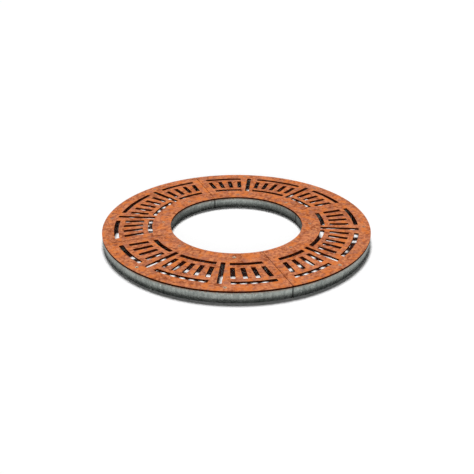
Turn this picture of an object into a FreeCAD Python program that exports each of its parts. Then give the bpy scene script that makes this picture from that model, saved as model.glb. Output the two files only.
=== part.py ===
"""Round tree grate: slotted weathering-steel plates screwed to a galvanised frame of four bolted quarters.

The origin is on the ground at the centre of the ring and +Z is up. The seams between the quarters lie on
the X and Y axes, and quarter 1 fills the corner between +X and +Y. Lengths are in millimetres and angles
in degrees.
"""
import FreeCAD, Part
import os

import Sketcher
from FreeCAD import Placement, Rotation, Vector

SIZES = {
    # the ring and its plates
    "tree_opening_radius": 297,
    "ring_width": 303,
    "plate_thickness": 8,
    "plate_seam_gap": 2,
    # the flat bars of the frame
    "bar_height": 45,
    "hoop_thickness": 6,
    "hoop_setback": 1,
    "hoop_seam_gap": 3,
    "end_plate_thickness": 10,
    "end_plate_crop": 12,
    "weld_clearance": 0.1,
    # the slots: a fan of radial ones between two rings of curved ones
    "outer_margin": 52,
    "inner_margin": 82,
    "slot_width": 20,
    "curved_slot_width": 20,
    "slot_ring_land": 22,
    "slot_corner_radius": 3,
    "fan_seam_distance": 46,
    "fan_positions": 15,
    "cut_margin": 2,
    # the lugs that take the plate screws
    "lug_width": 40,
    "lug_thickness": 8,
    "lug_crop": 8,
    "lug_edge_distance": 20,
    "outer_screw_inset": 20,
    "outer_screw_angle": 25.3,
    "inner_screw_inset": 28,
    "inner_screw_angle": 22.5,
    # M8 countersunk screw, washer and lock nut
    "screw_diameter": 8,
    "screw_length": 30,
    "screw_head_diameter": 16,
    "screw_head_recess": 0.3,
    "screw_head_clearance": 0.3,
    "screw_hole_diameter": 9,
    "screw_socket_across": 5,
    "screw_socket_depth": 2.5,
    "screw_washer_diameter": 16,
    "screw_washer_thickness": 1.6,
    "screw_nut_across": 13,
    "screw_nut_height": 8,
    "thread_clearance": 0.3,
    # M12 bolt, washers and nut that couple two quarters
    "coupling_inset": 85,
    "coupling_diameter": 12,
    "coupling_length": 40,
    "coupling_hole_diameter": 13,
    "coupling_head_across": 18,
    "coupling_head_height": 7.5,
    "coupling_washer_diameter": 24,
    "coupling_washer_thickness": 2.5,
    "coupling_nut_height": 10.8,
}

QUARTER_COUNT = 4
QUARTERS = range(1, QUARTER_COUNT + 1)
QUARTER_ANGLE = 360 / QUARTER_COUNT
# first and last fan position of each panel of short slots, and the long slots between the panels
PANELS = ((0, 3), (5, 9), (11, 14))
LONG_POSITIONS = (4, 10)

PLATE_INNER = "sizes.tree_opening_radius"
PLATE_OUTER = "(sizes.tree_opening_radius + sizes.ring_width)"
PLATE_TOP = "(sizes.bar_height + sizes.plate_thickness)"
OUTER_HOOP_OUTSIDE = f"({PLATE_OUTER} - sizes.hoop_setback)"
OUTER_HOOP_INSIDE = f"({OUTER_HOOP_OUTSIDE} - sizes.hoop_thickness)"
INNER_HOOP_INSIDE = f"({PLATE_INNER} + sizes.hoop_setback)"
INNER_HOOP_OUTSIDE = f"({INNER_HOOP_INSIDE} + sizes.hoop_thickness)"
SLOTS_INNER = f"({PLATE_INNER} + sizes.inner_margin)"
SLOTS_OUTER = f"({PLATE_OUTER} - sizes.outer_margin)"
CURVED_DEPTH = "sizes.curved_slot_width"
SHORT_INNER = f"({SLOTS_INNER} + {CURVED_DEPTH} + sizes.slot_ring_land)"
SHORT_OUTER = f"({SLOTS_OUTER} - {CURVED_DEPTH} - sizes.slot_ring_land)"
FAN_STEP = f"({QUARTER_ANGLE} / (sizes.fan_positions - 1))"
CUT_BOTTOM = "(sizes.bar_height - sizes.cut_margin)"
CUT_HEIGHT = "(sizes.plate_thickness + 2 * sizes.cut_margin)"
OUTER_SCREW_RADIUS = f"({OUTER_HOOP_INSIDE} - sizes.outer_screw_inset)"
INNER_SCREW_RADIUS = f"({INNER_HOOP_OUTSIDE} + sizes.inner_screw_inset)"
LUG_BOTTOM = "(sizes.bar_height - sizes.lug_thickness)"
COUPLING_HEIGHT = "(sizes.bar_height / 2)"

doc = FreeCAD.newDocument("tree_grate")
sheet = doc.addObject("Spreadsheet::Sheet", "sizes")
for row, (alias, number) in enumerate(SIZES.items(), start=1):
    sheet.set(f"A{row}", alias)
    sheet.set(f"B{row}", str(number))
    sheet.setAlias(f"B{row}", alias)
doc.recompute()


def size(expression):
    """Present value of an expression in the sheet's sizes."""
    return float(sheet.evalExpression(expression))


def turned(angle):
    """Placement turned about the ring's axis."""
    return Placement(Vector(0, 0, 0), Rotation(Vector(0, 0, 1), angle))


def quarter_turn(quarter):
    return turned(QUARTER_ANGLE * (quarter - 1))


def origin_feature(body, role):
    return [feature for feature in body.Origin.OriginFeatures if feature.Role == role][0]


def new_body(label):
    body = doc.addObject("PartDesign::Body", label)
    body.Label = label
    return body


def new_sketch(body, name, plane="XY_Plane", **offset):
    """Sketch on one of the body's own planes, moved in it by expressions for x, y and z."""
    sketch = body.newObject("Sketcher::SketchObject", f"{body.Name}_{name}")
    sketch.AttachmentSupport = (origin_feature(body, plane), [""])
    sketch.MapMode = "FlatFace"
    for axis, expression in offset.items():
        sketch.setExpression(f"AttachmentOffset.Base.{axis}", expression)
    return sketch


def drive(sketch, expression, kind, *elements):
    """Dimension of the sketch that follows the sheet."""
    index = sketch.addConstraint(Sketcher.Constraint(kind, *elements, size(expression)))
    sketch.setExpression(f"Constraints[{index}]", expression)


def closed_outline(sketch, points):
    """Closed run of straight lines; line 0 starts at the first point."""
    corners = [Vector(x, y, 0) for x, y in points]
    count = len(corners)
    first = sketch.GeometryCount
    for index, corner in enumerate(corners):
        sketch.addGeometry(Part.LineSegment(corner, corners[(index + 1) % count]))
    for index in range(count):
        following = (index + 1) % count
        sketch.addConstraint(Sketcher.Constraint("Coincident", first + index, 2, first + following, 1))


def align(sketch, horizontal=(), vertical=()):
    for line in horizontal:
        sketch.addConstraint(Sketcher.Constraint("Horizontal", line))
    for line in vertical:
        sketch.addConstraint(Sketcher.Constraint("Vertical", line))


def circle(sketch, radius, x=None, y=None):
    """Circle on the sketch's origin, or at the place that two expressions give."""
    centre = Vector(size(x) if x else 0, size(y) if y else 0, 0)
    index = sketch.addGeometry(Part.Circle(centre, Vector(0, 0, 1), size(radius)))
    drive(sketch, radius, "Radius", index)
    if x is None:
        sketch.addConstraint(Sketcher.Constraint("Coincident", index, 3, -1, 1))
    else:
        drive(sketch, x, "DistanceX", -1, 1, index, 3)
        drive(sketch, y, "DistanceY", -1, 1, index, 3)


def rectangle(sketch, width, height):
    """Rectangle with its lower left corner on the sketch's origin."""
    wide, high = size(width), size(height)
    closed_outline(sketch, [(0, 0), (wide, 0), (wide, high), (0, high)])
    align(sketch, horizontal=(0, 2), vertical=(1, 3))
    sketch.addConstraint(Sketcher.Constraint("Coincident", 0, 1, -1, 1))
    drive(sketch, width, "DistanceX", 0, 1, 0, 2)
    drive(sketch, height, "DistanceY", 1, 1, 1, 2)


def cropped_rectangle(sketch, width, height, crop):
    """Rectangle on the sketch's origin with its two lower corners cut off at 45 degrees."""
    wide, high, cut = size(width), size(height), size(crop)
    lower = [(0, cut), (cut, 0), (wide - cut, 0), (wide, cut)]
    closed_outline(sketch, lower[1:] + [(wide, high), (0, high)] + lower[:1])
    align(sketch, horizontal=(0, 3), vertical=(2, 4))
    sketch.addConstraint(Sketcher.Constraint("PointOnObject", 0, 1, -1))
    sketch.addConstraint(Sketcher.Constraint("PointOnObject", 4, 1, -2))
    drive(sketch, width, "DistanceX", 3, 2, 3, 1)
    drive(sketch, height, "DistanceY", -1, 1, 3, 1)
    for line, low_end, high_end in ((1, 1, 2), (5, 2, 1)):
        drive(sketch, crop, "DistanceX", line, 1, line, 2)
        drive(sketch, crop, "DistanceY", line, low_end, line, high_end)


def hexagon(sketch, across):
    """Regular hexagon about the sketch's origin, given the distance across its flats."""
    corner_radius = f"({across} / sqrt(3))"
    radius = size(corner_radius)
    spokes = [Rotation(Vector(0, 0, 1), 60 * index).multVec(Vector(radius, 0, 0)) for index in range(6)]
    closed_outline(sketch, [(spoke.x, spoke.y) for spoke in spokes])
    guide = sketch.addGeometry(Part.Circle(Vector(0, 0, 0), Vector(0, 0, 1), radius), True)
    sketch.addConstraint(Sketcher.Constraint("Coincident", guide, 3, -1, 1))
    for line in range(6):
        sketch.addConstraint(Sketcher.Constraint("PointOnObject", line, 1, guide))
    for line in range(1, 6):
        sketch.addConstraint(Sketcher.Constraint("Equal", 0, line))
    sketch.addConstraint(Sketcher.Constraint("PointOnObject", 0, 1, -1))
    drive(sketch, corner_radius, "Radius", guide)


def pad(body, sketch, length, reverse=False):
    feature = body.newObject("PartDesign::Pad", f"{sketch.Name}_pad")
    feature.Profile = sketch
    feature.Reversed = reverse
    feature.setExpression("Length", length)
    return feature


def revolve(body, sketch):
    """Turn a half section about the sketch's upright axis."""
    feature = body.newObject("PartDesign::Revolution", f"{sketch.Name}_turned")
    feature.Profile = sketch
    feature.ReferenceAxis = (sketch, ["V_Axis"])
    feature.Angle = 360
    return feature


def quarter_ring(label, inner, outer, seam_gap, bottom, height):
    """Quarter of a flat ring whose ends stop half a seam gap short of the seams."""
    body = new_body(label)
    sketch = new_sketch(body, "outline", z=bottom)
    end = f"({seam_gap} / 2)"
    gap = size(end)
    for radius in (size(outer), size(inner)):
        reach = (radius ** 2 - gap ** 2) ** 0.5
        middle = radius / 2 ** 0.5
        arc = Part.Arc(Vector(reach, gap, 0), Vector(middle, middle, 0), Vector(gap, reach, 0))
        sketch.addGeometry(arc)
    far, near = [(radius ** 2 - gap ** 2) ** 0.5 for radius in (size(outer), size(inner))]
    sketch.addGeometry(Part.LineSegment(Vector(near, gap, 0), Vector(far, gap, 0)))
    sketch.addGeometry(Part.LineSegment(Vector(gap, near, 0), Vector(gap, far, 0)))
    for arc in (0, 1):
        sketch.addConstraint(Sketcher.Constraint("Coincident", arc, 3, -1, 1))
    for line, arc_end in ((2, 1), (3, 2)):
        sketch.addConstraint(Sketcher.Constraint("Coincident", line, 2, 0, arc_end))
        sketch.addConstraint(Sketcher.Constraint("Coincident", line, 1, 1, arc_end))
    align(sketch, horizontal=(2,), vertical=(3,))
    drive(sketch, outer, "Radius", 0)
    drive(sketch, inner, "Radius", 1)
    drive(sketch, end, "DistanceY", -1, 1, 2, 1)
    drive(sketch, end, "DistanceX", -1, 1, 3, 1)
    pad(body, sketch, height)
    return body


def ring_band(label, inner, outer):
    """Full ring through the plate, which limits a row of slots."""
    cylinders = []
    for name, radius in (("outside", outer), ("inside", inner)):
        cylinder = doc.addObject("Part::Cylinder", f"{label}_{name}")
        cylinder.setExpression("Radius", radius)
        cylinder.setExpression("Height", CUT_HEIGHT)
        cylinder.setExpression("Placement.Base.z", CUT_BOTTOM)
        cylinders.append(cylinder)
    band = doc.addObject("Part::Cut", label)
    band.Base, band.Tool = cylinders
    return band


def place_on_fan(tool, position):
    """Stand a tool on the fan's own centre, which is as far from one seam as from the other."""
    tool.Placement = turned(position * size(FAN_STEP))
    tool.setExpression("Placement.Base.x", "sizes.fan_seam_distance")
    tool.setExpression("Placement.Base.y", "sizes.fan_seam_distance")


def slot_fan(label, first, sweep, count):
    """Fan of slot-wide bars from the fan's centre; its first and last positions run along the seams."""
    body = new_body(label)
    sketch = new_sketch(body, "bar", y="-sizes.slot_width / 2", z=CUT_BOTTOM)
    rectangle(sketch, PLATE_OUTER, "sizes.slot_width")
    bar = pad(body, sketch, CUT_HEIGHT)
    pattern = body.newObject("PartDesign::PolarPattern", f"{label}_pattern")
    pattern.Originals = [bar]
    pattern.Axis = (origin_feature(body, "Z_Axis"), [""])
    pattern.setExpression("Angle", sweep)
    pattern.setExpression("Occurrences", count)
    body.Tip = pattern
    place_on_fan(body, first)
    return body


def fan_sector(label, first, last):
    """Pie slice of the fan between the middle lines of two positions."""
    sector = doc.addObject("Part::Cylinder", label)
    sector.setExpression("Radius", PLATE_OUTER)
    sector.setExpression("Height", CUT_HEIGHT)
    sector.setExpression("Angle", f"{last - first} * {FAN_STEP}")
    place_on_fan(sector, first)
    sector.setExpression("Placement.Base.z", CUT_BOTTOM)
    return sector


def common(label, first, second):
    result = doc.addObject("Part::Common", label)
    result.Base = first
    result.Tool = second
    return result


def slot_cutter():
    """All slots of one plate: short, long and curved, with eased corners."""
    fan = slot_fan("all_positions", 0, str(QUARTER_ANGLE), "sizes.fan_positions")
    long_step = LONG_POSITIONS[1] - LONG_POSITIONS[0]
    long_fan = slot_fan("long_positions", LONG_POSITIONS[0], f"{long_step} * {FAN_STEP}", "2")
    sectors = [fan_sector(f"panel_{index}", *panel) for index, panel in enumerate(PANELS, start=1)]
    panels = doc.addObject("Part::MultiFuse", "panels")
    panels.Shapes = [fan] + sectors
    inner_band = ring_band("inner_curved_band", SLOTS_INNER, f"({SLOTS_INNER} + {CURVED_DEPTH})")
    outer_band = ring_band("outer_curved_band", f"({SLOTS_OUTER} - {CURVED_DEPTH})", SLOTS_OUTER)
    slots = doc.addObject("Part::MultiFuse", "slots")
    slots.Shapes = [
        common("short_slots", fan, ring_band("short_band", SHORT_INNER, SHORT_OUTER)),
        common("inner_curved_slots", panels, inner_band),
        common("outer_curved_slots", panels, outer_band),
        common("long_slots", long_fan, ring_band("long_band", SLOTS_INNER, SLOTS_OUTER)),
    ]
    slots.Refine = True
    doc.recompute()
    narrowest = size("min(sizes.slot_width; sizes.curved_slot_width)")
    radius = min(size("sizes.slot_corner_radius"), 0.45 * narrowest)
    upright = []
    for index, edge in enumerate(slots.Shape.Edges, start=1):
        if abs(edge.tangentAt(edge.FirstParameter).z) > 0.99:
            upright.append((index, radius, radius))
    eased = doc.addObject("Part::Fillet", "eased_slots")
    eased.Base = slots
    eased.Edges = upright
    return eased


def screw_spots():
    """Angle and radius, as expressions, of the screws of quarter 1, with the row and letter of each."""
    spots = []
    for row_name, radius, angle in (
        ("outer", OUTER_SCREW_RADIUS, "sizes.outer_screw_angle"),
        ("inner", INNER_SCREW_RADIUS, "sizes.inner_screw_angle"),
    ):
        spots.append((row_name, "a", angle, radius))
        spots.append((row_name, "b", f"({QUARTER_ANGLE} - {angle})", radius))
    return spots


def screw_hole(label, angle, radius):
    """Cutter for one countersunk hole through the plate."""
    body = new_body(label)
    sketch = new_sketch(body, "section", "XZ_Plane", y=PLATE_TOP)
    sink = "(sizes.screw_head_diameter / 2 + sizes.screw_head_clearance)"
    bore = "(sizes.screw_hole_diameter / 2)"
    below = "(sizes.plate_thickness + sizes.cut_margin)"
    over, under = size("sizes.cut_margin"), size(below)
    wide, narrow = size(sink), size(bore)
    upper = [(0, over), (wide, over), (wide, 0)]
    closed_outline(sketch, upper + [(narrow, narrow - wide), (narrow, -under), (0, -under)])
    align(sketch, horizontal=(0, 4), vertical=(1, 3, 5))
    sketch.addConstraint(Sketcher.Constraint("PointOnObject", 0, 1, -2))
    sketch.addConstraint(Sketcher.Constraint("PointOnObject", 1, 2, -1))
    drive(sketch, "sizes.cut_margin", "DistanceY", -1, 1, 0, 1)
    drive(sketch, sink, "DistanceX", 0, 1, 0, 2)
    drive(sketch, bore, "DistanceX", 4, 2, 4, 1)
    drive(sketch, f"({sink} - {bore})", "DistanceY", 2, 2, 2, 1)
    drive(sketch, below, "DistanceY", 4, 1, -1, 1)
    revolve(body, sketch)
    body.setExpression("Placement.Base.x", f"{radius} * cos({angle})")
    body.setExpression("Placement.Base.y", f"{radius} * sin({angle})")
    return body


def top_plates():
    """Slotted quarter plates, alike, each turned to its quarter."""
    bottom, thickness = "sizes.bar_height", "sizes.plate_thickness"
    blank = quarter_ring("plate_blank", PLATE_INNER, PLATE_OUTER, "sizes.plate_seam_gap", bottom, thickness)
    holes = []
    for row_name, letter, angle, radius in screw_spots():
        holes.append(screw_hole(f"{row_name}_hole_{letter}", angle, radius))
    cutters = doc.addObject("Part::Compound", "plate_cutters")
    cutters.Links = [slot_cutter()] + holes
    plates = []
    for quarter in QUARTERS:
        plate = doc.addObject("Part::Cut", f"top_plate_{quarter}")
        plate.Base = blank
        plate.Tool = cutters
        plate.Placement = quarter_turn(quarter)
        plates.append(plate)
    return plates


def hoop(label, quarter, inside, outside):
    """Quarter of a rolled flat bar that stands on edge."""
    body = quarter_ring(label, inside, outside, "sizes.hoop_seam_gap", "0", "sizes.bar_height")
    body.Placement = quarter_turn(quarter)
    return body


def end_plate(label, quarter, at_start):
    """Flat bar between the hoops along a seam, cropped below and drilled for the coupling bolts."""
    body = new_body(label)
    thickness = "sizes.end_plate_thickness"
    near = f"({INNER_HOOP_OUTSIDE} + sizes.weld_clearance)"
    far = f"(sqrt({OUTER_HOOP_INSIDE}^2 - {thickness}^2) - sizes.weld_clearance)"
    sketch = new_sketch(body, "outline", "XZ_Plane", x=near)
    cropped_rectangle(sketch, f"({far} - {near})", "sizes.bar_height", "sizes.end_plate_crop")
    for radius in coupling_radii():
        circle(sketch, "(sizes.coupling_hole_diameter / 2)", f"({radius} - {near})", COUPLING_HEIGHT)
    pad(body, sketch, thickness, reverse=at_start)
    body.Placement = quarter_turn(quarter if at_start else quarter + 1)
    return body


def lug(label, quarter, row_name, angle, radius):
    """Flat lug welded to a hoop under the plate, with a clearance hole for its screw."""
    body = new_body(label)
    edge = "sizes.lug_edge_distance"
    if row_name == "outer":
        free_end = f"({radius} - {edge})"
        seat = f"(sqrt({OUTER_HOOP_INSIDE}^2 - (sizes.lug_width / 2)^2) - sizes.weld_clearance)"
        length = f"({seat} - {free_end})"
        outward = -90
    else:
        free_end = f"-({radius} + {edge})"
        length = f"({radius} + {edge} - {INNER_HOOP_OUTSIDE} - sizes.weld_clearance)"
        outward = 90
    sketch = new_sketch(body, "outline", x="-sizes.lug_width / 2", y=free_end, z=LUG_BOTTOM)
    cropped_rectangle(sketch, "sizes.lug_width", length, "sizes.lug_crop")
    circle(sketch, "(sizes.screw_hole_diameter / 2)", "(sizes.lug_width / 2)", edge)
    pad(body, sketch, "sizes.lug_thickness")
    body.Placement = turned(outward)
    body.setExpression("Placement.Rotation.Angle", f"{QUARTER_ANGLE * (quarter - 1) + outward} + {angle}")
    return body


def screw():
    """M8 countersunk screw that hangs from the level of its head, with a hexagon socket."""
    body = new_body("screw")
    sketch = new_sketch(body, "section", "XZ_Plane")
    head, shank = "(sizes.screw_head_diameter / 2)", "(sizes.screw_diameter / 2)"
    wide, narrow, length = size(head), size(shank), size("sizes.screw_length")
    closed_outline(sketch, [(0, 0), (wide, 0), (narrow, narrow - wide), (narrow, -length), (0, -length)])
    align(sketch, horizontal=(0, 3), vertical=(2, 4))
    sketch.addConstraint(Sketcher.Constraint("Coincident", 0, 1, -1, 1))
    drive(sketch, head, "DistanceX", 0, 1, 0, 2)
    drive(sketch, shank, "DistanceX", 3, 2, 3, 1)
    drive(sketch, f"({head} - {shank})", "DistanceY", 1, 2, 1, 1)
    drive(sketch, "sizes.screw_length", "DistanceY", 4, 1, 4, 2)
    revolve(body, sketch)
    socket = new_sketch(body, "socket")
    hexagon(socket, "sizes.screw_socket_across")
    pocket = body.newObject("PartDesign::Pocket", "screw_socket_pocket")
    pocket.Profile = socket
    pocket.setExpression("Length", "sizes.screw_socket_depth")
    return body


def washer(label, diameter, thickness, bore):
    """Flat washer that hangs from its upper face."""
    body = new_body(label)
    sketch = new_sketch(body, "outline")
    circle(sketch, f"({diameter} / 2)")
    circle(sketch, f"({bore} / 2)")
    pad(body, sketch, thickness, reverse=True)
    return body


def nut(label, across, height, bolt_diameter):
    """Hexagon nut that hangs from its upper face."""
    body = new_body(label)
    sketch = new_sketch(body, "outline")
    hexagon(sketch, across)
    circle(sketch, f"({bolt_diameter} / 2 + sizes.thread_clearance)")
    pad(body, sketch, height, reverse=True)
    return body


def hexagon_bolt():
    """M12 bolt with its head above the origin and its shank below."""
    body = new_body("hexagon_bolt")
    head = new_sketch(body, "head")
    hexagon(head, "sizes.coupling_head_across")
    pad(body, head, "sizes.coupling_head_height")
    shank = new_sketch(body, "shank")
    circle(shank, "(sizes.coupling_diameter / 2)")
    pad(body, shank, "sizes.coupling_length", reverse=True)
    return body


def coupling_radii():
    return (
        f"({INNER_HOOP_OUTSIDE} + sizes.coupling_inset)",
        f"({OUTER_HOOP_INSIDE} - sizes.coupling_inset)",
    )


def group(label, pattern_piece, placements):
    """Node that holds a separate copy of one fastener at each placement."""
    copies = []
    for placement in placements:
        solid = pattern_piece.Shape.copy()
        solid.Placement = placement
        copies.append(solid)
    node = doc.addObject("Part::Feature", label)
    node.Shape = Part.makeCompound(copies)
    return node


def screw_places(level):
    """Upright placements of the pieces of all plate screws at one level."""
    places = []
    for quarter in QUARTERS:
        for row_name, letter, angle, radius in screw_spots():
            spot = Placement(Vector(size(radius), 0, level), Rotation())
            places.append(quarter_turn(quarter) * turned(size(angle)) * spot)
    return places


def coupling_places(distance, head_side=True):
    """Placements on the seams' coupling holes, at a distance from the seam, with +Z away from it."""
    side = 1 if head_side else -1
    places = []
    for quarter in QUARTERS:
        for radius in coupling_radii():
            spot = Vector(size(radius), side * distance, size(COUPLING_HEIGHT))
            places.append(quarter_turn(quarter) * Placement(spot, Rotation(Vector(1, 0, 0), -90 * side)))
    return places


def plate_fasteners():
    """Screws through plates and lugs, with a washer and a lock nut below each lug."""
    screw_piece = screw()
    diameter, thickness = "sizes.screw_washer_diameter", "sizes.screw_washer_thickness"
    washer_piece = washer("screw_washer", diameter, thickness, "sizes.screw_hole_diameter")
    nut_piece = nut("screw_nut", "sizes.screw_nut_across", "sizes.screw_nut_height", "sizes.screw_diameter")
    doc.recompute()
    washer_bottom = size(f"{LUG_BOTTOM} - {thickness}")
    return [
        group("plate_screws", screw_piece, screw_places(size(f"{PLATE_TOP} - sizes.screw_head_recess"))),
        group("plate_washers", washer_piece, screw_places(size(LUG_BOTTOM))),
        group("plate_nuts", nut_piece, screw_places(washer_bottom)),
    ]


def coupling_fasteners():
    """Bolts through the end plates of neighbouring quarters, with a washer under each head and nut."""
    bolt_piece = hexagon_bolt()
    diameter, thickness = "sizes.coupling_washer_diameter", "sizes.coupling_washer_thickness"
    washer_piece = washer("coupling_washer", diameter, thickness, "sizes.coupling_hole_diameter")
    across, height = "sizes.coupling_head_across", "sizes.coupling_nut_height"
    nut_piece = nut("coupling_nut", across, height, "sizes.coupling_diameter")
    doc.recompute()
    washer_face = size(f"sizes.end_plate_thickness + {thickness}")
    nut_face = size(f"sizes.end_plate_thickness + {thickness} + {height}")
    head_washers = coupling_places(washer_face)
    nut_washers = coupling_places(washer_face, head_side=False)
    return [
        group("coupling_bolts", bolt_piece, coupling_places(washer_face)),
        group("coupling_washers", washer_piece, head_washers + nut_washers),
        group("coupling_nuts", nut_piece, coupling_places(nut_face, head_side=False)),
    ]


nodes = top_plates()
for quarter in QUARTERS:
    nodes.append(hoop(f"outer_hoop_{quarter}", quarter, OUTER_HOOP_INSIDE, OUTER_HOOP_OUTSIDE))
    nodes.append(hoop(f"inner_hoop_{quarter}", quarter, INNER_HOOP_INSIDE, INNER_HOOP_OUTSIDE))
    nodes.append(end_plate(f"end_plate_{quarter}_start", quarter, True))
    nodes.append(end_plate(f"end_plate_{quarter}_finish", quarter, False))
    for row_name, letter, angle, radius in screw_spots():
        nodes.append(lug(f"{row_name}_lug_{quarter}_{letter}", quarter, row_name, angle, radius))
nodes += plate_fasteners()
nodes += coupling_fasteners()
doc.recompute()

for item in doc.Objects:
    if "Invalid" in item.State or "Error" in item.State:
        raise RuntimeError(f"{item.Label} failed: {item.State}")
os.makedirs("parts", exist_ok=True)
for node in nodes:
    if node.Shape.isNull() or not node.Shape.isValid():
        raise RuntimeError(f"{node.Label} has no valid shape")
    node.Shape.exportStep(f"parts/{node.Label}.step")
    print(f"{node.Label}: {len(node.Shape.Solids)} solids, {node.Shape.Volume / 1000:.2f} cm3")
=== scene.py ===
import math

import bmesh
import bpy
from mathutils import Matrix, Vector


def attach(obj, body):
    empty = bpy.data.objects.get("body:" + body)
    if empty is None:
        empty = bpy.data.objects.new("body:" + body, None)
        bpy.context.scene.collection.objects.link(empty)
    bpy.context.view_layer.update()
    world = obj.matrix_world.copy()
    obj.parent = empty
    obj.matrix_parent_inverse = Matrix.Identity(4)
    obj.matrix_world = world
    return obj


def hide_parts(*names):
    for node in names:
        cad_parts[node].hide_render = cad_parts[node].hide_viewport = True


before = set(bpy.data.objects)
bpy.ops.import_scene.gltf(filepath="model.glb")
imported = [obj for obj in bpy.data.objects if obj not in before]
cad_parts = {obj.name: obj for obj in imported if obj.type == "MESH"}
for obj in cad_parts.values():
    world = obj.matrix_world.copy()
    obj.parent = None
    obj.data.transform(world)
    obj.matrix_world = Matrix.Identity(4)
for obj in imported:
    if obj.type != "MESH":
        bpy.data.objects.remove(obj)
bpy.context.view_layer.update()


# Hoops: the outer and inner rims of the frame, flat bar 45 x 6 rolled on edge, one length of each to a
# quarter, just short of the seams. The zinc of the hot-dipped frame is a dull grey-green spangle with
# upright runs and bright specks, dark at the ends of the bars, and with a wash of rust below the plate
# that is partly painted shade under the plate's edge.
class Wire:
    """One socket of a node tree. Sums of wires become Math nodes."""

    def __init__(self, nodes, socket):
        self.nodes = nodes
        self.socket = socket

    def __getitem__(self, name):
        return Wire(self.nodes, self.socket.node.outputs[name])

    def math(self, operation, *others):
        return self.nodes.add("ShaderNodeMath", {"operation": operation}, dict(enumerate((self, *others))))

    def __add__(self, other):
        return self.math("ADD", other)

    def __sub__(self, other):
        return self.math("SUBTRACT", other)

    def __mul__(self, other):
        return self.math("MULTIPLY", other)

    def __truediv__(self, other):
        return self.math("DIVIDE", other)

    def __rsub__(self, other):
        return self.nodes.add("ShaderNodeMath", {"operation": "SUBTRACT"}, {0: other, 1: self})

    def __rtruediv__(self, other):
        return self.nodes.add("ShaderNodeMath", {"operation": "DIVIDE"}, {0: other, 1: self})

    __radd__ = __add__
    __rmul__ = __mul__

    def spread(self, low, high, start=0.0, end=1.0):
        """The part of this value between low and high, eased and clamped to start and end."""
        limits = {"Value": self, "From Min": low, "From Max": high, "To Min": start, "To Max": end}
        return self.nodes.add("ShaderNodeMapRange", {"interpolation_type": "SMOOTHSTEP"}, limits)

    def tint(self, below, above):
        """The colour that goes from one to the other as this value goes from 0 to 1."""
        ends = {"Factor": self, "A": below, "B": above}
        return self.nodes.add("ShaderNodeMix", {"data_type": "RGBA"}, ends)


class Nodes:
    """Adds nodes to one tree: the settings of a node first, then the values or links of its sockets."""

    def __init__(self, tree):
        self.tree = tree

    def add(self, kind, settings=None, sockets=None):
        node = self.tree.nodes.new(kind)
        for name, value in (settings or {}).items():
            setattr(node, name, value)
        self.feed(node, sockets or {})
        return Wire(self, next((socket for socket in node.outputs if socket.enabled), None))

    def feed(self, node, sockets):
        for name, value in sockets.items():
            socket = node.inputs[name]
            if isinstance(name, str) and not socket.enabled:
                socket = next(other for other in node.inputs if other.enabled and other.name == name)
            for entry in value if isinstance(value, list) else [value]:
                if isinstance(entry, Wire):
                    self.tree.links.new(entry.socket, socket)
                else:
                    socket.default_value = entry

    def vector(self, x=0.0, y=0.0, z=0.0):
        return self.add("ShaderNodeCombineXYZ", {}, {"X": x, "Y": y, "Z": z})

    def channels(self, colour):
        return self.add("ShaderNodeSeparateColor", {}, {"Color": colour})

    def noise(self, place, scale, detail=4.0, roughness=0.6):
        sockets = {"Vector": place, "Scale": scale, "Detail": detail, "Roughness": roughness}
        return self.add("ShaderNodeTexNoise", {}, sockets)

    def cells(self, place, scale):
        return self.add("ShaderNodeTexVoronoi", {}, {"Vector": place, "Scale": scale})

    def ring_place(self):
        """A point's coordinates, the three axes of these and its distance from the middle of the ring."""
        place = self.add("ShaderNodeTexCoord")["Object"]
        axes = self.add("ShaderNodeSeparateXYZ", {}, {"Vector": place})
        reach = (axes["X"] * axes["X"] + axes["Y"] * axes["Y"]).math("SQRT")
        return place, axes, reach


def new_finish(name):
    finish = bpy.data.materials.new(name)
    finish.use_nodes = True
    return finish, Nodes(finish.node_tree), finish.node_tree.nodes["Principled BSDF"]


def shape_tree(name, sizes):
    """A geometry tree that takes the sizes of one kind of piece by name, and its finish."""
    tree = bpy.data.node_groups.new(name, "GeometryNodeTree")
    tree.interface.new_socket("Geometry", in_out="OUTPUT", socket_type="NodeSocketGeometry")
    tree.interface.new_socket("Geometry", in_out="INPUT", socket_type="NodeSocketGeometry")
    for size_name in sizes:
        tree.interface.new_socket(size_name, in_out="INPUT", socket_type="NodeSocketFloat")
    tree.interface.new_socket("Finish", in_out="INPUT", socket_type="NodeSocketMaterial")
    nodes = Nodes(tree)
    return nodes, nodes.add("NodeGroupInput")


def end_tree(nodes, size, geometry):
    real = nodes.add("GeometryNodeRealizeInstances", {}, {"Geometry": geometry})
    finished = nodes.add("GeometryNodeSetMaterial", {}, {"Geometry": real, "Material": size["Finish"]})
    nodes.add("NodeGroupOutput", {}, {"Geometry": finished})


def clean_faces(mesh, crease):
    """Closes the seams, turns every face outward and shades all but the edges above the crease smooth."""
    same_place = 2e-6
    work = bmesh.new()
    work.from_mesh(mesh)
    bmesh.ops.remove_doubles(work, verts=work.verts, dist=same_place)
    bmesh.ops.recalc_face_normals(work, faces=work.faces)
    work.to_mesh(mesh)
    work.free()
    mesh.shade_smooth()
    mesh.set_sharp_from_angle(angle=math.radians(crease))


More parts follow.
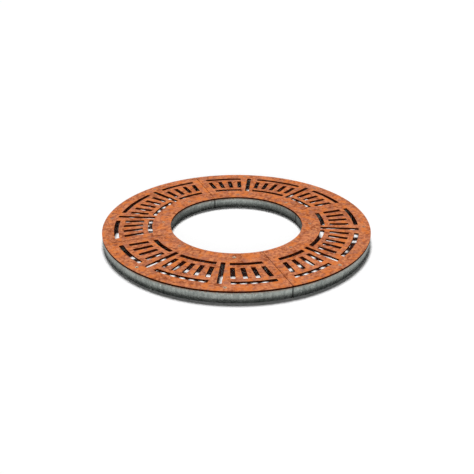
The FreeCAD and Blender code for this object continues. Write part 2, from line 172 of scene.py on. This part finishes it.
def formed(name, nodes, sizes, finish, start=None, crease=40):
    """The piece that a shape tree makes from these sizes, as a plain mesh."""
    piece = bpy.data.objects.new(name, start or bpy.data.meshes.new(name))
    bpy.context.scene.collection.objects.link(piece)
    shape = piece.modifiers.new("shape", "NODES")
    shape.node_group = nodes.tree
    for item in nodes.tree.interface.items_tree:
        if item.in_out == "INPUT" and item.name in sizes:
            shape[item.identifier] = float(sizes[item.name])
        if item.in_out == "INPUT" and item.name == "Finish":
            shape[item.identifier] = finish
    made = piece.evaluated_get(bpy.context.evaluated_depsgraph_get())
    mesh = bpy.data.meshes.new_from_object(made)
    piece.modifiers.clear()
    piece.data = mesh
    mesh.name = name
    clean_faces(mesh, crease)
    return piece


ring_radius = 0.6
opening_radius = 0.297
ring_middle = (opening_radius + ring_radius) / 2
ring_half_width = (ring_radius - opening_radius) / 2
quarter_turn = math.pi / 2
bar_height = 0.045
bar_thickness = 0.006
hoop_setback = 0.001


def galvanised_finish(name, shine):
    """Zinc with this much of a metal's shine."""
    thin_zinc, thick_zinc = (0.2, 0.225, 0.21, 1), (0.48, 0.515, 0.48, 1)
    bright_zinc, dark_zinc = (0.78, 0.82, 0.78, 1), (0.07, 0.075, 0.07, 1)
    rust = (0.2, 0.085, 0.035, 1)
    rust_and_shade_depth, hoop_zone, dark_length = 0.01, 0.0085, 0.008
    finish, nodes, surface = new_finish(name)
    place, axes, reach = nodes.ring_place()
    turn = axes["Y"].math("ARCTAN2", axes["X"])
    spangle = nodes.channels(nodes.cells(place, 120)["Color"])
    flakes = nodes.channels(nodes.cells(place, 330)["Color"])
    runs = nodes.noise(nodes.vector(turn * 60, 0.0, axes["Z"] * 9), scale=1.0, detail=5.0, roughness=0.65)
    cloud = nodes.noise(place, scale=11)
    specks = nodes.cells(place, 75)["Distance"].spread(0.22, 0.1) * runs.spread(0.5, 0.62)
    tone = runs * 0.5 + spangle["Red"] * 0.14 + flakes["Green"] * 0.08 + cloud * 0.45
    colour = tone.spread(0.38, 0.8).tint(thin_zinc, thick_zinc)
    colour = specks.tint(colour, bright_zinc)
    # painted shade: the top of the bar turns dark rust just under the plate's edge, partly a rust wash and
    # partly painted shade
    rust_and_shade_band = axes["Z"].spread(bar_height - rust_and_shade_depth, bar_height)
    rust_wash_and_shade = rust_and_shade_band * runs.spread(0.35, 0.55)
    colour = (rust_wash_and_shade * 0.65).tint(colour, rust)
    to_seam = axes["X"].math("ABSOLUTE").math("MINIMUM", axes["Y"].math("ABSOLUTE"))
    at_hoop = (reach - ring_middle).math("ABSOLUTE").math("GREATER_THAN", ring_half_width - hoop_zone)
    bar_end = to_seam.spread(dark_length, 0.0) * at_hoop
    colour = (bar_end * 0.75).tint(colour, dark_zinc)
    relief = runs * 0.6 + spangle["Blue"] * 0.2 + nodes.noise(place, scale=260, detail=2) * 0.3
    bump = nodes.add("ShaderNodeBump", {}, {"Strength": 0.25, "Distance": 0.0006, "Height": relief})
    roughness = 0.18 + spangle["Green"] * 0.08 + cloud * 0.12
    nodes.feed(surface, {"Base Color": colour, "Metallic": shine, "Roughness": roughness, "Normal": bump})
    return finish


bright_galvanised = galvanised_finish("bright_galvanised", shine=0.85)

bar, size = shape_tree("rolled_bar", ("Quarter", "Radius", "Thickness", "Height", "Seam Gap", "Edge"))
short = (size["Seam Gap"] / size["Radius"]).math("ARCSINE") * 0.5
bend = {"Resolution": 97, "Radius": size["Radius"], "Start Angle": size["Quarter"] * quarter_turn + short}
bend["Sweep Angle"] = quarter_turn - short * 2
path = bar.add("GeometryNodeCurveArc", {"mode": "RADIUS"}, bend)
section = {"Width": size["Thickness"], "Height": size["Height"]}
section = bar.add("GeometryNodeCurvePrimitiveQuadrilateral", {}, section)
easing = {"Curve": section, "Count": 3, "Radius": size["Edge"]}
section = bar.add("GeometryNodeFilletCurve", {"mode": "POLY"}, easing)
swept = {"Curve": path, "Profile Curve": section, "Fill Caps": True}
swept = bar.add("GeometryNodeCurveToMesh", {}, swept)
lift = bar.vector(z=size["Height"] / 2)
end_tree(bar, size, bar.add("GeometryNodeTransform", {}, {"Geometry": swept, "Translation": lift}))

from_rim = hoop_setback + bar_thickness / 2
for rim, radius in (("outer", ring_radius - from_rim), ("inner", opening_radius + from_rim)):
    for quarter in range(4):
        bar_sizes = {"Quarter": quarter, "Radius": radius, "Thickness": bar_thickness, "Height": bar_height}
        bar_sizes |= {"Seam Gap": 0.003, "Edge": 0.0008}
        hoop = formed(f"{rim}_hoop_{quarter + 1}_bar", bar, bar_sizes, bright_galvanised)
        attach(hoop, "root")
        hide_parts(f"{rim}_hoop_{quarter + 1}")


# End plates and lugs: sheared pieces of flat bar inside each quarter of the frame. Two radial plates close
# its ends and carry the coupling bolts, and four lugs under the rims take the screws of the top plate. They
# are welded to the hoops before galvanising, with broken edges, and their zinc has gone dull.
def broken_edges(node, name, width):
    """The CAD piece as one closed mesh, with every square edge slightly rounded."""
    same_place = 2e-6
    flat, square = math.radians(1), math.radians(60)
    work = bmesh.new()
    work.from_mesh(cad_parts[node].data)
    bmesh.ops.remove_doubles(work, verts=work.verts, dist=same_place)
    bmesh.ops.dissolve_limit(work, angle_limit=flat, verts=work.verts, edges=work.edges)
    edges = [edge for edge in work.edges if edge.calc_face_angle(0) > square]
    bmesh.ops.bevel(work, geom=edges, offset=width, segments=2, profile=0.5, affect="EDGES")
    mesh = bpy.data.meshes.new(name)
    work.to_mesh(mesh)
    work.free()
    clean_faces(mesh, crease=40)
    piece = bpy.data.objects.new(name, mesh)
    bpy.context.scene.collection.objects.link(piece)
    return piece


dull_galvanised = galvanised_finish("dull_galvanised", shine=0.2)

for quarter in (1, 2, 3, 4):
    plates = [f"end_plate_{quarter}_{end}" for end in ("start", "finish")]
    lugs = [f"{rim}_lug_{quarter}_{letter}" for rim in ("outer", "inner") for letter in "ab"]
    for node in plates + lugs:
        bracket = broken_edges(node, f"{node}_bar", width=0.0006)
        bracket.data.materials.append(dull_galvanised)
        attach(bracket, "root")
        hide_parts(node)


# Weld beads: short fillets laid by hand in the corners where end plates and lugs meet the hoops, before the
# frame goes into the zinc. Each is a row of overlapping ripples, fuller in the middle of the run.
def turned_point(angle, along, across, height):
    """A point given along and across a line from the middle of the ring at this angle."""
    x = along * math.cos(angle) - across * math.sin(angle)
    y = along * math.sin(angle) + across * math.cos(angle)
    return x, y, height


plate_corners, plate_face = (0.3046, 0.5923), 0.0106
plate_weld_bottom, plate_weld_top = 0.0145, 0.0425
outer_lug_corner, inner_lug_corner = 0.5922, 0.3046
lug_weld_half, lug_weld_height = 0.0165, 0.0366
outer_screw_angle, inner_screw_angle = math.radians(25.3), math.radians(22.5)

weld_ends = []
for quarter in range(4):
    seam = quarter * quarter_turn
    for corner in plate_corners:
        for side in (-plate_face, plate_face):
            weld_ends.append(turned_point(seam, corner, side, plate_weld_bottom))
            weld_ends.append(turned_point(seam, corner, side, plate_weld_top))
    for corner, angle in ((outer_lug_corner, outer_screw_angle), (inner_lug_corner, inner_screw_angle)):
        for lug_angle in (angle, quarter_turn - angle):
            for side in (-lug_weld_half, lug_weld_half):
                weld_ends.append(turned_point(seam + lug_angle, corner, side, lug_weld_height))
runs = bpy.data.meshes.new("weld_runs")
runs.from_pydata(weld_ends, [(end, end + 1) for end in range(0, len(weld_ends), 2)], [])

weld, size = shape_tree("weld_bead", ("Leg", "Pitch"))
run = weld.add("GeometryNodeMeshToCurve", {}, {"Mesh": size["Geometry"]})
run = weld.add("GeometryNodeResampleCurve", {"mode": "LENGTH"}, {"Curve": run, "Length": size["Pitch"]})
fullness = (weld.add("GeometryNodeSplineParameter")["Factor"] * math.pi).math("SINE")
unevenness = weld.add("FunctionNodeRandomValue", {}, {"Min": -0.06, "Max": 0.06, "Seed": 7})
swell = 0.8 + fullness * 0.22 + unevenness
ripple = weld.add("GeometryNodeMeshUVSphere", {}, {"Segments": 10, "Rings": 6, "Radius": size["Leg"] * 0.6})
along_run = {"Vector": weld.add("GeometryNodeInputTangent")}
heading = weld.add("FunctionNodeAlignRotationToVector", {"axis": "Z"}, along_run)
ripples = {"Points": run, "Instance": ripple, "Rotation": heading, "Scale": weld.vector(swell, swell, 0.75)}
end_tree(weld, size, weld.add("GeometryNodeInstanceOnPoints", {}, ripples))

beads = formed("weld_beads", weld, {"Leg": 0.0045, "Pitch": 0.0022}, dull_galvanised, start=runs, crease=60)
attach(beads, "root")


# Top plates: four quarters of a ring laser cut from 8 mm weathering steel and left to rust. Two long slots
# split each quarter into three panels of short slots between two curved ones. The slots fan out from a
# point inside the quarter's corner, so that the first and the last lie parallel to the seams.
def corten_finish():
    """Rust in patches, blotches, pits and dust, and dark scale on the cut walls and the underside, partly
    oxide and partly painted shade, darkest on the rim walls.
    """
    dark_rust, light_rust = (0.273, 0.067, 0.023, 1), (0.76, 0.267, 0.128, 1)
    purple_rust, orange_rust = (0.425, 0.158, 0.099, 1), (0.75, 0.203, 0.047, 1)
    yellow_rust, pit_brown = (0.67, 0.283, 0.078, 1), (0.2, 0.073, 0.05, 1)
    pale_dust, rim_scale_and_shade = (0.86, 0.407, 0.213, 1), (0.045, 0.007, 0.001, 1)
    dark_scale_and_shade, light_scale_and_shade = (0.07, 0.01, 0.0016, 1), (0.16, 0.024, 0.004, 1)
    rim_zone = 0.0012
    finish, nodes, surface = new_finish("rusted_weathering_steel")
    place, axes, reach = nodes.ring_place()
    sheltered = nodes.add("ShaderNodeAttribute", {"attribute_name": "sheltered"})["Fac"]
    patches = nodes.noise(place, scale=12, detail=3, roughness=0.55)
    mottle = nodes.noise(place, scale=85, detail=5, roughness=0.65)
    grain = nodes.noise(place, scale=420, detail=3, roughness=0.6)
    bloom = nodes.noise(place, scale=85, detail=3, roughness=0.6)
    blotches = nodes.channels(nodes.noise(place, scale=30, detail=3, roughness=0.55)["Color"])
    pits = nodes.noise(place, scale=300, detail=2, roughness=0.5).spread(0.6, 0.72)
    dust = nodes.channels(nodes.noise(place, scale=240, detail=2, roughness=0.5)["Color"])
    dust = dust["Green"].spread(0.6, 0.72)
    tone = patches * 0.27 + mottle * 0.88 + grain * 0.25
    colour = tone.spread(0.56, 0.84).tint(dark_rust, light_rust)
    colour = (blotches["Green"].spread(0.48, 0.64) * 0.75).tint(colour, purple_rust)
    colour = (blotches["Blue"].spread(0.48, 0.64) * 0.75).tint(colour, orange_rust)
    colour = (bloom.spread(0.5, 0.68) * 0.4).tint(colour, yellow_rust)
    colour = (pits * 0.5).tint(colour, pit_brown)
    colour = (dust * 0.35).tint(colour, pale_dust)
    # painted shade: the cut walls and the underside take dark scale, darker than oxide alone, to deepen the
    # shade in the slots and under the plate
    scale = (mottle * 0.6 + grain * 0.4).tint(dark_scale_and_shade, light_scale_and_shade)
    at_rim = (reach - ring_middle).math("ABSOLUTE").math("GREATER_THAN", ring_half_width - rim_zone)
    # painted shade: the rim walls are darkest, so that the plate's edge reads as a dark line in shade
    scale = at_rim.tint(scale, rim_scale_and_shade)
    colour = sheltered.tint(colour, scale)
    relief = mottle * 0.5 + grain * 0.5 - pits * 0.4
    bump = nodes.add("ShaderNodeBump", {}, {"Strength": 0.35, "Distance": 0.0006, "Height": relief})
    roughness = 0.76 + grain * 0.2 - pits * 0.1
    nodes.feed(surface, {"Base Color": colour, "Metallic": 0.0, "Roughness": roughness, "Normal": bump})
    nodes.feed(surface, {"Specular IOR Level": 0.0})
    return finish


corten = corten_finish()

slot_count, first_long, second_long = 15, 4, 10
panels = ((0, first_long - 1), (first_long + 1, second_long - 1), (second_long + 1, slot_count - 1))
plate_thickness = 0.008
inner_margin, outer_margin = 0.082, 0.052
inner_screw_inset, outer_screw_inset = 0.035, 0.027
plate_sizes = {"Inner Radius": opening_radius, "Outer Radius": ring_radius, "Corner": 0.0012}
plate_sizes |= {"Bottom": bar_height, "Top": bar_height + plate_thickness, "Seam Gap": 0.002}
plate_sizes |= {"Slots Start": opening_radius + inner_margin, "Slots End": ring_radius - outer_margin}
plate_sizes |= {"Slot Width": 0.02, "Slot Corner": 0.003, "Ring Land": 0.022}
plate_sizes |= {"Fan Distance": 0.046, "Fan Step": quarter_turn / (slot_count - 1)}
plate_sizes |= {"Outer Screws": ring_radius - outer_screw_inset, "Outer Angle": outer_screw_angle}
plate_sizes |= {"Inner Screws": opening_radius + inner_screw_inset, "Inner Angle": inner_screw_angle}
plate_sizes |= {"Hole Radius": 0.0045, "Sink Radius": 0.0083}
plate, size = shape_tree("slotted_plate", ("Quarter", *plate_sizes))


def outlines(count, cuts, corner, form):
    """Closed outlines between two radii and two straight flanks, each flank a direction and an offset."""
    loop = plate.add("GeometryNodeCurvePrimitiveQuadrilateral", {}, {"Width": 1.0, "Height": 1.0})
    order = plate.add("GeometryNodeInputIndex")
    bent = 1.0 - order.math("MODULO", 2.0)
    loop = plate.add("GeometryNodeSubdivideCurve", {}, {"Curve": loop, "Cuts": bent * cuts})
    seeds = plate.add("GeometryNodePoints", {}, {"Count": count})
    seeds = {"Geometry": seeds, "Name": "number", "Value": order}
    seeds = plate.add("GeometryNodeStoreNamedAttribute", {"data_type": "INT"}, seeds)
    loops = plate.add("GeometryNodeInstanceOnPoints", {}, {"Points": seeds, "Instance": loop})
    loops = plate.add("GeometryNodeRealizeInstances", {}, {"Geometry": loops})
    number = plate.add("GeometryNodeInputNamedAttribute", {"data_type": "INT"}, {"Name": "number"})
    inner, outer, first, last = form(number)
    spot = plate.add("ShaderNodeSeparateXYZ", {}, {"Vector": plate.add("GeometryNodeInputPosition")})
    radius = inner + (spot["Y"] + 0.5) * (outer - inner)
    low = first[0] + (first[1] / radius).math("ARCSINE")
    high = last[0] + (last[1] / radius).math("ARCSINE")
    angle = low + (spot["X"] + 0.5) * (high - low)
    spot = plate.vector(radius * angle.math("COSINE"), radius * angle.math("SINE"))
    loops = plate.add("GeometryNodeSetPosition", {}, {"Geometry": loops, "Position": spot})
    at_corner = (order + 1).math("MODULO", cuts + 2).math("LESS_THAN", 1.5)
    rounding = {"Curve": loops, "Count": 5, "Radius": at_corner * corner}
    return plate.add("GeometryNodeFilletCurve", {"mode": "POLY"}, rounding)


def flank(number, side):
    """One side of the slot at this place in the fan: its direction and its distance from the tree."""
    direction = size["Fan Step"] * number
    axis = size["Fan Distance"] * (direction.math("COSINE") - direction.math("SINE"))
    return direction, axis + size["Slot Width"] * (side / 2)


def rim_form(number):
    half_gap = size["Seam Gap"] / 2
    return size["Inner Radius"], size["Outer Radius"], (0.0, half_gap), (quarter_turn, 0.0 - half_gap)


def straight_form(number):
    """A long slot runs all the way, and a short one stops a land before the curved slots."""
    between = (first_long + second_long) / 2
    is_long = (number - between).math("ABSOLUTE").math("COMPARE", second_long - between, 0.1)
    land = (size["Slot Width"] + size["Ring Land"]) * (1.0 - is_long)
    return size["Slots Start"] + land, size["Slots End"] - land, flank(number, -1), flank(number, 1)


def curved_form(first, last):
    """The inner and the outer curved slot of the panel between two places in the fan."""
    def form(number):
        outer_slot = size["Slots End"] - size["Slot Width"]
        inner = size["Slots Start"] + number * (outer_slot - size["Slots Start"])
        return inner, inner + size["Slot Width"], flank(first, -1), flank(last, 1)
    return form


def screw_places(nodes, size):
    """Where screw after screw goes: two by the outer rim and two by the inner rim of each quarter."""
    number = nodes.add("GeometryNodeInputIndex")
    inside = (number / 2).math("FLOOR").math("MODULO", 2.0)
    radius = size["Outer Screws"] + inside * (size["Inner Screws"] - size["Outer Screws"])
    angle = size["Outer Angle"] + inside * (size["Inner Angle"] - size["Outer Angle"])
    mirrored = number.math("MODULO", 2.0)
    angle = angle + mirrored * (quarter_turn - angle * 2) + (number / 4).math("FLOOR") * quarter_turn
    return radius * angle.math("COSINE"), radius * angle.math("SINE")


def holes(radius):
    x, y = screw_places(plate, size)
    spots = plate.add("GeometryNodePoints", {}, {"Count": 4, "Position": plate.vector(x, y)})
    hole = {"Resolution": 32, "Radius": radius}
    hole = plate.add("GeometryNodeCurvePrimitiveCircle", {"mode": "RADIUS"}, hole)
    copies = plate.add("GeometryNodeInstanceOnPoints", {}, {"Points": spots, "Instance": hole})
    return plate.add("GeometryNodeRealizeInstances", {}, {"Geometry": copies})


def cut_walls(loops, *profile):
    """Walls along the outlines through a profile of places, each a sideways shift and a height."""
    walls = []
    loops = plate.add("GeometryNodeSetCurveNormal", {"mode": "Z_UP"}, {"Curve": loops})
    places = [plate.vector(side, 0.0 - height) for side, height in profile]
    for start, end in zip(places, places[1:]):
        line = plate.add("GeometryNodeCurvePrimitiveLine", {}, {"Start": start, "End": end})
        walls.append(plate.add("GeometryNodeCurveToMesh", {}, {"Curve": loops, "Profile Curve": line}))
    return walls


def rolled_face(loops, height):
    face = plate.add("GeometryNodeFillCurve", {"mode": "TRIANGLES"}, {"Curve": loops})
    return plate.add("GeometryNodeTransform", {}, {"Geometry": face, "Translation": plate.vector(z=height)})


rim_loop = outlines(count=1, cuts=79, corner=size["Corner"], form=rim_form)
slot_loops = [outlines(count=slot_count, cuts=0, corner=size["Slot Corner"], form=straight_form)]
for first, last in panels:
    slot_loops.append(outlines(count=2, cuts=15, corner=size["Slot Corner"], form=curved_form(first, last)))
cuts = plate.add("GeometryNodeJoinGeometry", {}, {"Geometry": [rim_loop, *slot_loops]})
walls = cut_walls(cuts, (0.0, size["Bottom"]), (0.0, size["Top"]))
bore = holes(size["Hole Radius"])
sink = size["Sink Radius"] - size["Hole Radius"]
walls += cut_walls(bore, (0.0, size["Bottom"]), (0.0, size["Top"] - sink), (sink, size["Top"]))
under = plate.add("GeometryNodeJoinGeometry", {}, {"Geometry": [cuts, bore]})
upper = plate.add("GeometryNodeJoinGeometry", {}, {"Geometry": [cuts, holes(size["Sink Radius"])]})
walls_and_underside = plate.add("GeometryNodeJoinGeometry", {}, {"Geometry": [*walls, rolled_face(under, size["Bottom"])]})
# the cut walls and the underside are marked for dark scale and painted shade
mark = {"Geometry": walls_and_underside, "Name": "sheltered", "Value": 1.0}
walls_and_underside = plate.add("GeometryNodeStoreNamedAttribute", {"data_type": "FLOAT", "domain": "FACE"}, mark)
whole = plate.add("GeometryNodeJoinGeometry", {}, {"Geometry": [walls_and_underside, rolled_face(upper, size["Top"])]})
in_quarter = {"Geometry": whole, "Rotation": plate.vector(z=size["Quarter"] * quarter_turn)}
end_tree(plate, size, plate.add("GeometryNodeTransform", {}, in_quarter))

for quarter in range(4):
    top = formed(f"top_plate_{quarter + 1}_slotted", plate, {"Quarter": quarter, **plate_sizes}, corten)
    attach(top, "root")
    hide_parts(f"top_plate_{quarter + 1}")


# Plate screws: sixteen M8 stainless screws with flat countersunk heads and a hexagon socket, some under a
# film of rust from the plate. Each goes through the plate and a lug, with a plain washer and a lock nut
# drawn up from below.
def fastener_finish(name, light, dark, film):
    """Brushed metal between two colours, with a film of rust here and there."""
    rust = (0.24, 0.08, 0.03, 1)
    finish, nodes, surface = new_finish(name)
    place = nodes.add("ShaderNodeTexCoord")["Object"]
    stain = nodes.noise(place, scale=160, detail=4, roughness=0.6)
    brushing = nodes.noise(place, scale=900, detail=2, roughness=0.5)
    colour = (stain * 0.7 + brushing * 0.3).spread(0.35, 0.65).tint(dark, light)
    rusty = nodes.noise(place, scale=6.5, detail=1, roughness=0.5).spread(0.36, 0.5)
    colour = (rusty * film).tint(colour, rust)
    bump = nodes.add("ShaderNodeBump", {}, {"Strength": 0.15, "Distance": 0.0003, "Height": brushing})
    roughness = 0.34 + stain * 0.2
    nodes.feed(surface, {"Base Color": colour, "Metallic": 0.8, "Roughness": roughness, "Normal": bump})
    return finish


def turned_mesh(name, *parts):
    """Pieces turned about the upright axis from rings of radius and height in mm, six-sided where marked.

    A closed part is a ring with a bore, and any other has flat ends.
    """
    sides = 24
    millimetre = 0.001
    half_flat = math.pi / 6
    points = []
    faces = []
    for closed, rings in parts:
        base = len(points)
        for radius, height, *six in rings:
            for step in range(sides):
                angle = 2 * math.pi * step / sides
                flat = math.cos((angle + half_flat) % (2 * half_flat) - half_flat) if six else 1.0
                reach = radius / flat * millimetre
                points.append((reach * math.cos(angle), reach * math.sin(angle), height * millimetre))
        for ring in range(len(rings) if closed else len(rings) - 1):
            low = base + ring * sides
            high = base + (ring + 1) % len(rings) * sides
            for step in range(sides):
                after = (step + 1) % sides
                faces.append((low + step, low + after, high + after, high + step))
        if not closed:
            faces.append(tuple(range(base, base + sides)))
            faces.append(tuple(range(len(points) - sides, len(points))))
    mesh = bpy.data.meshes.new(name)
    mesh.from_pydata(points, [], faces)
    return mesh


def thread(radius, depth, pitch, start, end):
    """Rings of a screw thread, from its bottom turn to its top turn."""
    turns = int((end - start) / pitch)
    return [(radius - depth * (half % 2), start + half * pitch / 2) for half in range(2 * turns + 1)]


clean_stainless, dark_stainless = (0.31, 0.222, 0.15, 1), (0.182, 0.127, 0.083, 1)
stainless = fastener_finish("brushed_stainless", clean_stainless, dark_stainless, film=0.7)

shank = [(3.1, 22.7)] + thread(4.0, depth=0.6, pitch=1.25, start=23.3, end=34.0) + [(4.0, 48.4)]
head = [(7.8, 52.2), (8.0, 52.5), (7.8, 52.7), (3.1, 52.7)]
socket = [(2.5, 52.4, "six"), (2.5, 50.3, "six"), (1.6, 50.0)]
washer = [(4.3, 35.4), (7.7, 35.4), (8.0, 35.6), (8.0, 36.8), (7.7, 37.0), (4.3, 37.0)]
nut = [(4.2, 35.4), (6.2, 35.4), (6.5, 34.9, "six"), (6.5, 30.4, "six")]
lock_collar = [(6.2, 29.9), (6.0, 28.3), (5.4, 27.5), (4.8, 27.4), (4.2, 27.6)]

screw_set, size = shape_tree("screw_set", ("Outer Screws", "Outer Angle", "Inner Screws", "Inner Angle"))
x, y = screw_places(screw_set, size)
spots = screw_set.add("GeometryNodePoints", {}, {"Count": 16, "Position": screw_set.vector(x, y)})
spin = screw_set.add("FunctionNodeRandomValue", {}, {"Min": 0.0, "Max": 2 * math.pi, "Seed": 3})
copies = {"Points": spots, "Instance": size["Geometry"], "Rotation": screw_set.vector(z=spin)}
end_tree(screw_set, size, screw_set.add("GeometryNodeInstanceOnPoints", {}, copies))

screw_parts = {"plate_screws": (False, shank + head + socket), "plate_washers": (True, washer)}
screw_parts["plate_nuts"] = (True, nut + lock_collar)
for node, part in screw_parts.items():
    turned = turned_mesh(f"{node}_turned", part)
    fixing = formed(f"{node}_turned", screw_set, plate_sizes, stainless, start=turned, crease=35)
    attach(fixing, "root")
    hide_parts(node)


# Coupling bolts: two M12 zinc plated bolts across each seam, through both end plates, with a washer at
# either end and a plain hexagon nut. They pull the quarters together, with their heads all on the same side
# round the ring.
light_plating, dark_plating = (0.62, 0.64, 0.62, 1), (0.4, 0.42, 0.41, 1)
zinc_plate = fastener_finish("zinc_plated", light_plating, dark_plating, film=0.0)

bolt_shank = [(5.1, -27.5)] + thread(6.0, depth=0.9, pitch=1.75, start=-26.6, end=-8.0) + [(6.0, 12.5)]
bolt_head = [(8.6, 12.5), (9.0, 12.9, "six"), (9.0, 19.2, "six"), (8.4, 20.0)]
head_washer = [(6.3, 10.0), (11.6, 10.0), (12.0, 10.3), (12.0, 12.2), (11.6, 12.5), (6.3, 12.5)]
nut_washer = [(radius, -height) for radius, height in head_washer]
hexagon_nut = [(6.2, -12.5), (8.6, -12.5), (9.0, -13.0, "six"), (9.0, -22.8, "six")]
hexagon_nut += [(8.5, -23.3), (6.7, -23.3), (6.2, -22.9)]

coupling, size = shape_tree("coupling_set", ("Inner Bolts", "Outer Bolts", "Height"))
number = coupling.add("GeometryNodeInputIndex")
radius = size["Inner Bolts"] + number.math("MODULO", 2.0) * (size["Outer Bolts"] - size["Inner Bolts"])
angle = (number / 2).math("FLOOR") * quarter_turn
spot = coupling.vector(radius * angle.math("COSINE"), radius * angle.math("SINE"), size["Height"])
spots = coupling.add("GeometryNodePoints", {}, {"Count": 8, "Position": spot})
laid = coupling.vector(-quarter_turn, 0.0, angle)
copies = {"Points": spots, "Instance": size["Geometry"], "Rotation": laid}
end_tree(coupling, size, coupling.add("GeometryNodeInstanceOnPoints", {}, copies))

bolt_inset = 0.092
coupling_sizes = {"Inner Bolts": opening_radius + bolt_inset, "Outer Bolts": ring_radius - bolt_inset}
coupling_sizes["Height"] = bar_height / 2
coupling_parts = {"coupling_bolts": [(False, bolt_shank + bolt_head)]}
coupling_parts["coupling_nuts"] = [(True, hexagon_nut)]
coupling_parts["coupling_washers"] = [(True, head_washer), (True, nut_washer)]
for node, parts in coupling_parts.items():
    turned = turned_mesh(f"{node}_turned", *parts)
    fixing = formed(f"{node}_turned", coupling, coupling_sizes, zinc_plate, start=turned, crease=35)
    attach(fixing, "root")
    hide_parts(node)


# Stage: a pale studio floor that runs out to white, with painted shade on it beside the ring that only the
# metal's mirrored light sees, so the hoops mirror it dark at their foot. A key lamp high behind throws the
# shadow forward, a low lamp lights the front, a little soft light comes from all round, and the camera is
# at standing height in front of a seam.
def studio_floor():
    pale, mirrored_shade = (0.98, 0.98, 0.98, 1), (0.05, 0.05, 0.05, 1)
    half_side = 30.0
    corners = [(-half_side, -half_side, 0), (half_side, -half_side, 0)]
    corners += [(half_side, half_side, 0), (-half_side, half_side, 0)]
    mesh = bpy.data.meshes.new("studio_floor")
    mesh.from_pydata(corners, [], [(0, 1, 2, 3)])
    finish, nodes, surface = new_finish("pale_floor")
    reach = nodes.ring_place()[2]
    # painted shade: only to mirrored rays, the floor is dark in bands outside the outer rim and inside the
    # opening
    outside = reach.spread(ring_radius + 0.1, ring_radius) * reach.math("GREATER_THAN", ring_radius - 0.01)
    inside = reach.spread(0.17, 0.275) * reach.math("LESS_THAN", opening_radius + 0.013)
    mirrored = nodes.add("ShaderNodeLightPath")["Is Glossy Ray"]
    colour = (mirrored * (outside * 0.55 + inside * 0.85)).tint(pale, mirrored_shade)
    nodes.feed(surface, {"Base Color": colour, "Roughness": 0.9, "Specular IOR Level": 0.0})
    mesh.materials.append(finish)
    floor = bpy.data.objects.new("studio_floor", mesh)
    bpy.context.scene.collection.objects.link(floor)


studio_floor()


def sun_lamp(name, energy, width, toward):
    lamp = bpy.data.lights.new(name, "SUN")
    lamp.energy = energy
    lamp.angle = math.radians(width)
    holder = bpy.data.objects.new(name, lamp)
    holder.rotation_euler = Vector(toward).to_track_quat("Z", "Y").to_euler()
    bpy.context.scene.collection.objects.link(holder)


sun_lamp("key_lamp", energy=3.3, width=16, toward=(0.123, 0.403, 0.91))
sun_lamp("front_lamp", energy=0.45, width=14, toward=(-0.345, -0.896, 0.28))

world = bpy.data.worlds.new("studio")
world.use_nodes = True
bpy.context.scene.world = world
room = Nodes(world.node_tree)
ray = room.add("ShaderNodeLightPath")
in_metal = ray["Is Glossy Ray"] * ray["Diffuse Depth"].math("LESS_THAN", 0.5)
seen = ray["Is Camera Ray"] + in_metal + ray["Is Transmission Ray"]
soft_light, white = 0.042, 1.0
backdrop = {"Color": (1, 1, 1, 1), "Strength": seen.spread(0, 1, soft_light, white)}
room.feed(world.node_tree.nodes["Background"], backdrop)

lens = bpy.data.cameras.new("camera")
lens.lens = 50.0
lens.sensor_width = 36.0
camera = bpy.data.objects.new("camera", lens)
camera.location = (-0.9662, -2.5237, 1.3256)
aim = Vector((-0.0505, -0.1388, 0.0539))
camera.rotation_euler = (aim - camera.location).to_track_quat("-Z", "Y").to_euler()
bpy.context.scene.collection.objects.link(camera)
bpy.context.scene.camera = camera
bpy.context.scene.view_settings.view_transform = "Standard"
